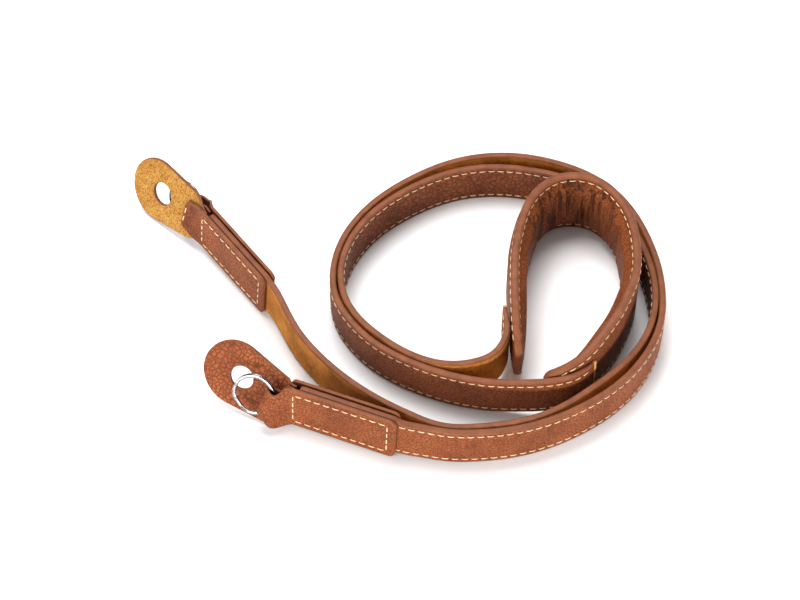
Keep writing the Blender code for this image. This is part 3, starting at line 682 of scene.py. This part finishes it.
class Section:
    """A rounded strip's cross-section, the same number of points at every width.

    Each flat side can carry two sewing grooves. A point has a kind, "edge" or "mid", a side or a
    share of the way across, a distance from the edge, a height, and a zone: 0 the face, 1 the
    edge, 2 the back.
    """

    def __init__(self, thickness, radius, paint, inset=STITCH_INSET, groove=0.0, across=8, crown=0.0,
                 back_groove=0.0, back_across=6, back_paint=0.0004):
        back = self.flat_side(radius, back_paint, inset, back_groove, back_across, 0.0)
        edge = self.round_side(radius, thickness)
        self.points = self.flat_side(radius, paint, inset, groove, across, crown) + edge
        self.points += [(kind, -side if kind == "edge" else 1 - side, depth, -thickness - high, 2 - zone % 2)
                        for kind, side, depth, high, zone in back]
        self.points += [(kind, -side, *rest) for kind, side, *rest in reversed(edge)]

    @staticmethod
    def flat_side(radius, paint, inset, groove, across, crown):
        """Points of a flat side from its low edge to its high edge."""
        marks = [(radius, 0.0), (max(paint, radius + 0.00005), 0.0)]
        marks += [(inset + offset, sunk * groove) for offset, sunk in GROOVE_PROFILE]
        found = [("edge", -1, depth, -sunk, int(depth < paint)) for depth, sunk in marks]
        for step in range(1, across):
            share = step / across
            found.append(("mid", share, marks[-1][0], crown * math.sin(math.pi * share), 0))
        return found + [("edge", 1, depth, -sunk, int(depth <= paint)) for depth, sunk in reversed(marks)]

    @staticmethod
    def round_side(radius, thickness, turns=5):
        """Points of a rounded edge from the face side down to the back side."""
        found = []
        for step in range(1, turns + 1):
            turn = math.pi / 2 * step / turns
            found.append(("edge", 1, radius * (1 - math.sin(turn)), -radius * (1 - math.cos(turn)), 1))
        return found + [(kind, side, depth, -thickness - high, zone)
                        for kind, side, depth, high, zone in reversed(found)]

    def at(self, half):
        """Points as (width offset, height from the face side), for a strip of that half width."""
        found = []
        for kind, first, depth, high, _ in self.points:
            inner = half - min(depth, 0.9 * half)
            found.append((2 * inner * first - inner if kind == "mid" else first * inner, high))
        return found


def quads(sides, row):
    """Faces between a ring of points and the next one, with that many points in each."""
    return [(row * sides + j, (row + 1) * sides + j, (row + 1) * sides + (j + 1) % sides,
             row * sides + (j + 1) % sides) for j in range(sides)]


def ribbon(name, section, stations, materials, displace=None, raw=False):
    """A strip through stations of (face point, up, outward, half width, thickness share).

    A fourth material covers its two end caps, and its last short row too if that is cut raw.
    """
    zones = [point[4] for point in section.points]
    sides = len(zones)
    last = len(stations) - 1
    vertices = []
    for index, (place, up, outward, half, share) in enumerate(stations):
        for across, high in section.at(half):
            offset = high * share
            if displace is not None:
                offset += displace(index, across, high)
            vertices.append(place + up * across + outward * offset)
    faces = []
    looks = []
    for row in range(last):
        faces += quads(sides, row)
        looks += [3] * sides if raw and row == last - 1 else zones
    for row, order in ((0, 1), (last, -1)):
        centre = len(vertices)
        ring = [row * sides + j for j in range(sides)]
        vertices.append(sum((vertices[i] for i in ring), Vector()) / sides)
        faces += [(centre, *(ring[j], ring[(j + 1) % sides])[::order]) for j in range(sides)]
        looks += [3 if len(materials) > 3 else 1] * sides
    return piece(name, vertices, faces, materials, looks)


def flip_if_inside_out(mesh):
    """Turn a closed mesh's faces outward if its volume comes out negative."""
    mesh.calc_loop_triangles()
    places = np.empty(len(mesh.vertices) * 3)
    mesh.vertices.foreach_get("co", places)
    places = places.reshape(-1, 3)
    corners = np.empty(len(mesh.loop_triangles) * 3, int)
    mesh.loop_triangles.foreach_get("vertices", corners)
    a, b, c = places[corners.reshape(-1, 3)].transpose(1, 0, 2)
    if np.einsum("ij,ij->i", a, np.cross(b, c)).sum() < 0:
        mesh.flip_normals()


class Sewing:
    """Collects stitches and makes one piece of them."""

    def __init__(self, name):
        self.name = name
        self.vertices = []
        self.faces = []
        self.rng = random.Random(name)

    def stitch(self, start, end, outward):
        """One stitch, out of the surface at one point and in at the other."""
        along = (end - start).normalized()
        side = outward.cross(along).normalized()
        side = (side + along * self.rng.uniform(-STITCH_TILT, STITCH_TILT)).normalized()
        plump = self.rng.uniform(0.92, 1.08)
        slant = self.rng.uniform(-STITCH_SLANT, STITCH_SLANT)
        first = len(self.vertices)
        sides = STITCH_SIDES
        for share, high, size in STITCH_PROFILE:
            middle = (start.lerp(end, share) + outward * (high * STITCH_HALF_HEIGHT)
                      + side * (slant * (share - 0.5) * 2))
            for j in range(sides):
                turn = 2 * math.pi * j / sides
                self.vertices.append(middle + side * (math.cos(turn) * STITCH_HALF_WIDTH * size * plump)
                                     + outward * (math.sin(turn) * STITCH_HALF_HEIGHT * size * plump))
        last = first + (len(STITCH_PROFILE) - 1) * sides
        for row in range(first, last, sides):
            for j in range(sides):
                k = (j + 1) % sides
                self.faces.append((row + j, row + k, row + sides + k, row + sides + j))
        self.faces.append(tuple(first + j for j in reversed(range(sides))))
        self.faces.append(tuple(last + j for j in range(sides)))

    def row(self, points, outwards):
        """Evenly spaced stitches along a line of points with outward directions."""
        points = np.array([tuple(p) for p in points])
        outwards = np.array([tuple(o) for o in outwards])
        distance = arc_lengths(points)
        count = int(distance[-1] / STITCH_PITCH)
        slack = (distance[-1] - count * STITCH_PITCH) / 2

        def place(value):
            spot, outward = (Vector(values_at([value], distance, rows)[0]) for rows in (points, outwards))
            return spot, outward.normalized()

        for number in range(count):
            begin = slack + number * STITCH_PITCH + (STITCH_PITCH - STITCH_LENGTH) / 2
            first, out_first = place(begin)
            last, out_last = place(begin + STITCH_LENGTH)
            self.stitch(first, last, (out_first + out_last).normalized())

    def make(self):
        """The piece, with all stitches so far."""
        made = piece(self.name, self.vertices, self.faces, [THREAD], [0] * len(self.faces), smooth_angle=80)


def make_strap(end):
    """One strap: pebbled face, painted edges, suede back and two rows of stitches."""
    face = ENDS[end]["face_side"]
    frames, distance = strap_frames(end)
    left = np.interp((distance[-1] - distance) / SEWN_LENGTH, column(STRAP_PARING, "back"),
                     column(STRAP_PARING, "thickness"))
    tops = STRAP_THICKNESS * left * (face > 0) - STRAP_THICKNESS / 2
    filled = (TAB_WIDTH - STRAP_WIDTH) / 2 - TAB_FILL_INSET
    halves = [STRAP_WIDTH / 2 + filled * ease(-at / TAB_FILL_WAY) for at in distance]
    for tip in (0, -1):
        halves[tip] -= STRAP_END_NARROWING
    section = Section(STRAP_THICKNESS, radius=0.0006, paint=0.0007, groove=GROOVE_DEPTH, crown=0.00012)
    stations = [(spot.at(0, 0, top), spot.up, spot.out * face, half, thick)
                for spot, top, half, thick in zip(frames, tops, halves, left)]
    made = ribbon(f"strap_{end}", section, stations, [STRAP_LEATHER[end], EDGE, SUEDE, RAW], raw=True)
    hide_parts(f"strap_{end}_face", f"strap_{end}_back")

    sewing = Sewing(f"stitches_strap_{end}")
    shown = [i for i, at in enumerate(distance) if STRAP_STITCH_START < at < distance[-1] - STRAP_STITCH_END]
    for side in (-1, 1):
        across = side * (STRAP_WIDTH / 2 - STITCH_INSET)
        sewing.row([frames[i].at(0, across, tops[i] - face * STITCH_SINK) for i in shown],
                   [frames[i].out * face for i in shown])
    sewing.make()


def pad_frames():
    """Frames along the shoulder piece, the share of its length at each, and its shape there."""
    line = pad_line(PAD_STEP)
    length = arc_lengths(line)
    share = np.union1d(length / length[-1], np.concatenate((PAD_TIP_ROWS, 1 - PAD_TIP_ROWS)))
    weight = np.clip(np.minimum(share, 1 - share) / PAD_TIP_SHARE, 0, 1)
    shape = {}
    for name in PAD_SHAPE[0][1:]:
        values = np.interp(share, column(PAD_SHAPE, "along"), column(PAD_SHAPE, name))
        shape[name] = values * (1 - weight) + smoothed(values, PAD_SMOOTHING) * weight
    places = values_at(share * length[-1], length, line)
    sides = values_at(share * length[-1], length, side_normals(line))
    up = Vector((0.0, 0.0, 1.0))
    frames = []
    for place, side, drop in zip(places, sides, shape["drop"]):
        out = Vector((*side, 0.0)).normalized()
        middle = Vector((*place, PAD_WIDTH * (0.5 - drop))) + ROW_SHIFT
        frames.append(Frame(middle, out.cross(up), up, out))
    return frames, share, shape


def make_pad():
    """The shoulder piece: leather face, padded and creased lining, and a painted edge."""
    frames, share, shape = pad_frames()
    total = arc_lengths(np.array([tuple(spot.origin) for spot in frames]))[-1]
    halves = PAD_WIDTH * shape["width"] / 2
    rng = random.Random(CREASE_SEED)
    creases = [(rng.gauss(0.47, 0.13), rng.uniform(-0.75, 0.75), rng.uniform(0.25, 0.95),
                rng.uniform(0.00022, 0.00075), rng.uniform(0.0006, 0.0012), rng.uniform(-0.0016, 0.0016))
               for _ in range(CREASE_COUNT)]

    def crease(at, v):
        """Depth of the creases at a share of the length and of the half width."""
        deep = 0.0
        for middle, level, reach, depth, width, slant in creases:
            away = (at - middle) * total - slant * v
            if abs(away) < 3 * width:
                deep += depth * math.exp(-(away / width)**2) * max(0.0, 1 - ((v - level) / reach)**2)
        return min(deep, CREASE_LIMIT)

    def swollen(index, across, high):
        """How far the padding and its creases move a point out from the flat piece."""
        inside = halves[index] - abs(across) - PAD_STITCH_INSET
        lining = high > -PAD_EDGE / 2
        start, way = PAD_LINING_SWELL if lining else PAD_FACE_SWELL
        swell = ease((inside - start) / way)
        if not lining:
            return -PAD_FACE_CROWN * shape["outer"][index] * swell
        v = across / halves[index]
        raised = PAD_LINING_CROWN * (1 - 0.12 * v * v) - crease(share[index], v)
        return raised * shape["inner"][index] * swell

    section = Section(PAD_EDGE, radius=0.0009, paint=0.0010, inset=PAD_STITCH_INSET, groove=PAD_GROOVE,
                      across=34, back_groove=PAD_GROOVE, back_across=16)
    stations = []
    for spot, at, half in zip(frames, share, halves):
        tip = min(at, 1 - at) * total
        thick = PAD_TIP_THICKNESS + (1 - PAD_TIP_THICKNESS) * math.sqrt(min(1.0, tip / PAD_TIP_WAY))
        stations.append((spot.at(0, 0, PAD_EDGE / 2 * thick), spot.up, spot.out, half, thick))
    made = ribbon("shoulder_pad", section, stations, [PAD, EDGE, LEATHER, EDGE], displace=swollen)
    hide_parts("shoulder_pad_face", "shoulder_pad_lining")

    sewing = Sewing("stitches_pad")
    shown = [i for i, at in enumerate(share) if PAD_STITCH_END < at * total < total - PAD_STITCH_END]
    for side in (-1, 1):
        for outward in (1, -1):
            level = outward * (PAD_EDGE / 2 - PAD_STITCH_SINK)
            sewing.row([frames[i].at(0, side * (halves[i] - PAD_STITCH_INSET), level) for i in shown],
                       [frames[i].out * outward for i in shown])
    sewing.make()


def pared(distance):
    """Share of its thickness that a tab's leather has at a distance from its cut end."""
    return PARED_SHARE + (1 - PARED_SHARE) * ease(distance / PARED_WAY)


def rounded_front(tab):
    """Frames, half widths and thickness shares over a tab's straight part."""
    half = TAB_WIDTH / 2
    rows = []
    for turn in np.linspace(0, math.pi / 2, 9):
        along = TAB_ROUND * (1 - math.cos(turn))
        rows.append((tab.moved(along), half - TAB_ROUND * (1 - math.sin(turn)), pared(along)))
    return rows + [(tab.moved(along), half, 1.0) for along in np.linspace(TAB_ROUND, TAB_LENGTH, 34)[1:]]


def tab_stations(end):
    """Stations of the tab's strip: straight front, shoulders, loop round the ring, and return."""
    face = ENDS[end]["face_side"]
    tab, stitched, loop, _ = end_frames(end)
    inside, outside = ring_sizes()[2:]
    loop_middle = FLAP_LEATHER / 2 + GAP + outside
    neck = LOOP_WIDTH / 2
    narrow_from, narrow_to = NARROWING_SHARES[end]
    rows = []

    def add(spot, outer, inner, half, along_outer=0.0, along_inner=0.0):
        place = spot.at(along_outer, 0, face * outer)
        through = place - spot.at(along_inner, 0, face * inner)
        rows.append((place, spot.up, through.normalized(), half, through.length / TAB_PLY))

    def add_way(shares, start, finish, half):
        """Stations between the stitched end and the loop, narrowing to its neck."""
        for share in shares:
            smooth = ease(share)
            outer, inner = (first * (1 - smooth) + last * smooth for first, last in zip(start, finish))
            narrowed = ease((share - narrow_from) / (narrow_to - narrow_from))
            add(between(stitched, loop, share), outer, inner, half + (neck - half) * narrowed)

    for spot, half, thick in rounded_front(tab):
        add(spot, SEAT + TAB_PLY * thick, SEAT, half)
    add_way(np.linspace(0, 0.97, 30)[1:], (SEAT + TAB_PLY, SEAT),
            (loop_middle + outside, loop_middle + inside), TAB_WIDTH / 2)
    for turn in np.linspace(math.pi / 2, -math.pi / 2, 25):
        high, along = math.sin(turn), math.cos(turn)
        add(loop, loop_middle + outside * high, loop_middle + inside * high, neck,
            outside * along, inside * along)
    add_way(np.linspace(0, 0.95, 24)[::-1], (STRAP_THICKNESS / 2 - LOOP_SKIVED, STRAP_THICKNESS / 2),
            (loop_middle - outside, loop_middle - inside), LOOP_FOOT_WIDTH / 2)
    return rows


def cover_stations(end):
    """Stations of the cover behind a tab, which ends over the flap's neck."""
    face = ENDS[end]["face_side"]
    tab, stitched, loop, _ = end_frames(end)
    half = TAB_WIDTH / 2
    end_half = COVER_END_WIDTH / 2
    end_seat = FLAP_LEATHER / 2 + COVER_END_GAP
    rows = []

    def add(spot, near, width, thick=1.0):
        place = spot.at(0, 0, -face * (near + TAB_PLY * thick))
        rows.append((place, spot.up, -spot.out * face, width, thick))

    for spot, width, thick in rounded_front(tab):
        add(spot, SEAT, width, thick)
    for share in np.linspace(0, 1, 30)[1:-1]:
        smooth = ease(share)
        add(between(stitched, loop, share), SEAT * (1 - smooth) + end_seat * smooth,
            half + (end_half - half) * smooth)
    for turn in np.linspace(math.pi / 2, 0, 9):
        left = COVER_END_ROUND * (1 - math.cos(turn))
        add(loop.moved(COVER_END_REACH - left), end_seat, end_half - COVER_END_ROUND * (1 - math.sin(turn)),
            pared(left))
    return rows


def make_tab(end):
    """A tab's folded strip and its cover, with stitches round both and across the cover's end."""
    face = ENDS[end]["face_side"]
    tab, _, loop, _ = end_frames(end)
    section = Section(TAB_PLY, radius=0.0004, paint=0.0006, inset=0.0030, crown=0.00012)
    for name, node, stations in (("tab_strip", "tab", tab_stations), ("tab_cover", "cover", cover_stations)):
        made = ribbon(f"{name}_{end}", section, stations(end), [LEATHER, EDGE, LINING])
        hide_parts(f"{node}_{end}")

    sewing = Sewing(f"stitches_tab_{end}")
    half = TAB_WIDTH / 2 - TAB_STITCH_INSET
    ends = (TAB_STITCH_START, TAB_LENGTH)
    lines = [[(along, up) for along in np.linspace(*ends, 12)] for up in (-half, half)]
    lines += [[(along, up) for up in np.linspace(-half, half, 8)] for along in ends]
    for side in (face, -face):
        level = side * (SEAT + TAB_PLY + TAB_STITCH_LIFT)
        for line in lines:
            sewing.row([tab.at(*place, level) for place in line], [tab.out * side] * len(line))
    half = COVER_END_WIDTH / 2 - COVER_STITCH_INSET
    level = -face * (FLAP_LEATHER / 2 + COVER_END_GAP + TAB_PLY)
    line = [loop.at(COVER_END_REACH - COVER_STITCH_BACK, up, level) for up in np.linspace(-half, half, 6)]
    sewing.row(line, [-loop.out * face] * len(line))
    sewing.make()


def flap_outline():
    """The leaf's outline: neck corner, straight side, round end and back, and the neck."""
    neck = FLAP_NECK_WIDTH / 2
    touch = math.atan2(neck, -LOOP_BACK) - math.acos(FLAP_RADIUS / math.hypot(LOOP_BACK, neck))
    tangent = (FLAP_RADIUS * math.cos(touch), FLAP_RADIUS * math.sin(touch))
    side = [(-LOOP_BACK - FLAP_NECK_REACH, -neck * 0.99)]
    side += [(-LOOP_BACK + (tangent[0] + LOOP_BACK) * share, -neck + (neck - tangent[1]) * share)
             for share in np.linspace(0, 1, 14, endpoint=False)]
    end = [(FLAP_RADIUS * math.cos(turn), FLAP_RADIUS * math.sin(turn))
           for turn in np.linspace(-touch, touch, 70)]
    points = np.array([*side, *end, *((x, -y) for x, y in reversed(side)), side[0]])
    length = arc_lengths(points)
    return values_at(np.linspace(0, length[-1], FLAP_POINTS, endpoint=False), length, points)


def make_flap(end):
    """A protector flap: leather on one side, split leather on the other, with a lug hole."""
    face = ENDS[end]["face_side"]
    _, stitched, loop, flap = end_frames(end)
    outline = flap_outline()
    turn = np.arctan2(outline[:, 1], outline[:, 0] + HOLE_BACK)
    hole = np.column_stack((HOLE_RADIUS * np.cos(turn) - HOLE_BACK, HOLE_RADIUS * np.sin(turn)))
    inward = hole - outline
    reach = np.linalg.norm(inward, axis=1)[:, None]
    inward = inward / reach
    half = FLAP_LEATHER / 2
    rim = [(FLAP_RIM * (1 - math.cos(turn)), half - FLAP_RIM + FLAP_RIM * math.sin(turn))
           for turn in np.linspace(0, math.pi / 2, 5)]
    front = [(outline + inward * inset, high, True) for inset, high in rim]
    front += [(outline + inward * (FLAP_RIM + (reach - 2 * FLAP_RIM) * share), half, False)
              for share in np.linspace(0, 1, 12)[1:-1]]
    front += [(hole - inward * inset, high, True) for inset, high in reversed(rim)]
    rows = front + [(points, -high, rounded) for points, high, rounded in reversed(front)]
    vertices = [flap.at(x, y, high) for points, high, _ in rows for x, y in points]
    faces = []
    looks = []
    for i, (_, high, rounded) in enumerate(rows):
        following = (i + 1) % len(rows)
        look = 0 if (high > 0) == (face > 0) else 2
        looks += [1 if rounded and rows[following][2] else look] * FLAP_POINTS
        first, second = i * FLAP_POINTS, following * FLAP_POINTS
        for j in range(FLAP_POINTS):
            k = (j + 1) % FLAP_POINTS
            faces.append((first + j, first + k, second + k, second + j))
    made = piece(f"flap_leaf_{end}", vertices, faces, [FLAP, EDGE, OCHRE], looks)

    section = Section(FLAP_LEATHER, radius=FLAP_RIM, paint=0.0003, inset=0.003, back_paint=0.0003)
    rows = []
    for share in np.linspace(0, 1.0, 26):
        smooth = ease(share)
        thick = (FLAP_SKIVED + (FLAP_LEATHER - FLAP_SKIVED) * smooth) * FOOT_SHARE
        top = (FLAP_SKIVED - STRAP_THICKNESS) / 2 * (1 - smooth) + thick / 2
        width = (FLAP_FOOT_WIDTH + (FLAP_NECK_WIDTH - FLAP_FOOT_WIDTH) * smooth) / 2
        spot = between(stitched, loop, share)
        rows.append((spot.at(0, 0, face * top), spot.up, spot.out * face, width, thick / FLAP_LEATHER))
    rows.append((loop.at(FOOT_REACH, 0, face * FLAP_LEATHER * FOOT_SHARE / 2), loop.up, loop.out * face,
                 FLAP_NECK_WIDTH / 2 - FOOT_END_INSET, FOOT_SHARE))
    foot = ribbon(f"flap_foot_{end}", section, rows, [FLAP, EDGE, OCHRE])
    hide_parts(f"flap_{end}")


def make_ring(end):
    """A split ring of two turns of rounded flat wire."""
    face = ENDS[end]["face_side"]
    loop = end_frames(end)[2]
    middle, depth = ring_sizes()[:2]
    swing = math.radians(ENDS[end]["swing_angle"])
    away = loop.along * math.cos(swing) + loop.out * (face * math.sin(swing))
    through = loop.up.cross(away)
    centre = ring_axis(loop, end) + away * (middle - depth / 2)
    radial = RING_WIRE_RADIAL / 2 - RING_ROUND
    axial = RING_WIRE_AXIAL / 2 - RING_ROUND
    section = []
    for sx, sy, start in ((1, 1, 0), (-1, 1, 90), (-1, -1, 180), (1, -1, 270)):
        for turn in (0, 22.5, 45, 67.5, 90):
            a = math.radians(start + turn)
            section.append((sx * radial + RING_ROUND * math.cos(a), sy * axial + RING_ROUND * math.sin(a)))
    sides = len(section)
    last = round(RING_STEPS * (2 - RING_CROSSING - RING_END_GAP))
    vertices = []
    for step in range(last + 1):
        turn = math.radians(RING_START) - 2 * math.pi * step / RING_STEPS
        out = away * math.cos(turn) + loop.up * math.sin(turn)
        crossed = (step / RING_STEPS - (1 - RING_CROSSING)) / RING_CROSSING
        level = (RING_WIRE_AXIAL + RING_COIL_GAP) * (ease(crossed) - 0.5)
        size = RING_END_SIZE + (1 - RING_END_SIZE) * min(1.0, min(step, last - step) / 3)
        vertices += [centre + out * (middle + across * size) + through * (level + high * size)
                     for across, high in section]
    faces = [tuple(range(sides)), tuple(reversed([last * sides + j for j in range(sides)]))]
    for row in range(last):
        faces += quads(sides, row)
    made = piece(f"split_ring_{end}", vertices, faces, [STEEL], [0] * len(faces), f"ring_{end}")
    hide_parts(f"ring_{end}")


# Stage

# Floor: half side, distance below the piece, and colour
FLOOR_REACH = 4.0
FLOOR_DROP = 0.0002
FLOOR_COLOUR = (0.93, 0.93, 0.93, 1.0)

# Soft lights: name, place, width and height, and power. All face the target
WORLD_STRENGTH = 0.40
LIGHTS = (
    ("top", (-0.10, 0.35, 0.90), (0.6, 0.6), 13.0),
    ("front", (-0.05, -0.95, 0.13), (1.5, 0.12), 12.0),
    ("left", (-0.65, -0.60, 0.50), (0.5, 0.4), 5.5),
    ("right", (0.90, -0.10, 0.12), (0.8, 0.12), 3.5),
)
LIGHT_TARGET = (0.0, 0.0, 0.01)

# Camera: what it faces, from the routes' origin, and pixels to the metre there
CAMERA_TARGET = (-0.0332, 0.00075, 0.008)
CAMERA_ELEVATION = 53.0
CAMERA_DISTANCE = 0.78
CAMERA_SCALE = 2910.0
IMAGE_WIDTH = 800
SENSOR_WIDTH = 36.0


def make_stage():
    """A pale floor, soft studio lights and the camera."""
    mesh = bpy.data.meshes.new("floor")
    corners = [(FLOOR_REACH * x, FLOOR_REACH * y, 0) for x, y in ((-1, -1), (1, -1), (1, 1), (-1, 1))]
    mesh.from_pydata(corners, [], [(0, 1, 2, 3)])
    floor = placed("floor", mesh)
    floor.location.z = -FLOOR_DROP
    mesh.materials.append(Nodes("floor").end(Base_Color=FLOOR_COLOUR, Roughness=0.9))

    scene = bpy.context.scene
    world = scene.world = scene.world or bpy.data.worlds.new("world")
    world.use_nodes = True
    background = world.node_tree.nodes["Background"]
    background.inputs["Color"].default_value = (1.0, 1.0, 1.0, 1.0)
    background.inputs["Strength"].default_value = WORLD_STRENGTH
    for name, place, size, power in LIGHTS:
        data = bpy.data.lights.new(name, "AREA")
        data.shape = "RECTANGLE"
        data.size, data.size_y = size
        data.energy = power
        light = placed(name, data)
        light.location = place
        light.rotation_euler = (Vector(LIGHT_TARGET) - Vector(place)).to_track_quat("-Z", "Y").to_euler()
    scene.view_settings.view_transform = "Standard"

    elevation = math.radians(CAMERA_ELEVATION)
    data = bpy.data.cameras.new("camera")
    data.sensor_width = SENSOR_WIDTH
    data.lens = CAMERA_SCALE * CAMERA_DISTANCE / IMAGE_WIDTH * SENSOR_WIDTH
    data.clip_start = 0.01
    camera = scene.camera = placed("camera", data)
    camera.location = (Vector(CAMERA_TARGET) + Vector((ROW_SHIFT.x, ROW_SHIFT.y, 0.0))
                       + Vector((0.0, -math.cos(elevation), math.sin(elevation))) * CAMERA_DISTANCE)
    camera.rotation_euler = (math.pi / 2 - elevation, 0.0, 0.0)


def main():
    """Make the stage and every piece."""
    make_stage()
    make_pad()
    for end in ENDS:
        make_strap(end)
        make_tab(end)
        make_flap(end)
        make_ring(end)


main()
